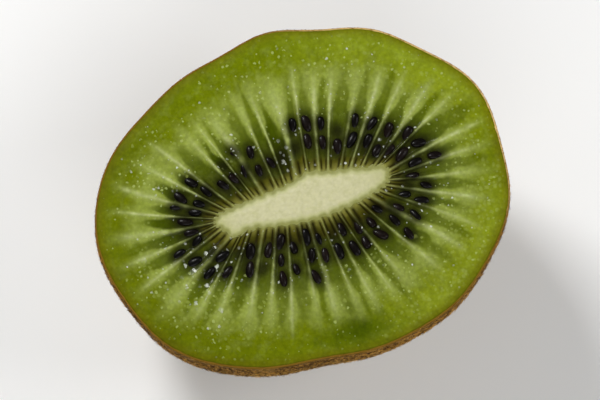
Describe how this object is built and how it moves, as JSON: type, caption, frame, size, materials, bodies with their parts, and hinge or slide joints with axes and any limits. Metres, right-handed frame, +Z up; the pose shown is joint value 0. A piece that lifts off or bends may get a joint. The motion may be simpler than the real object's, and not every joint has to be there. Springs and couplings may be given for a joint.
{
  "type": "kiwi fruit half",
  "caption": "Half of a kiwi fruit cut across its middle, with green seeded flesh, a pale core and thin fuzzy brown skin, resting on its round end with the cut face up.",
  "frame": {"origin": "On the resting plane, under the middle of the bounding box.", "axes": "+Z up, out of the cut face. +X along the long axis of the cut face."},
  "size_m": [0.052, 0.0424, 0.0306],
  "materials": {
    "flesh": "Wet translucent green flesh with pale rays and dark green seed chambers.",
    "core": "Pale cream core, finely granular and slightly moist.",
    "skin": "Thin brown skin, matt, covered with short stiff fuzz.",
    "seed": "Glossy black seeds with a brown tint."
  },
  "bodies": {
    "root": {"fruit_half": "flesh", "core": "core"}
  },
  "joints": []
}
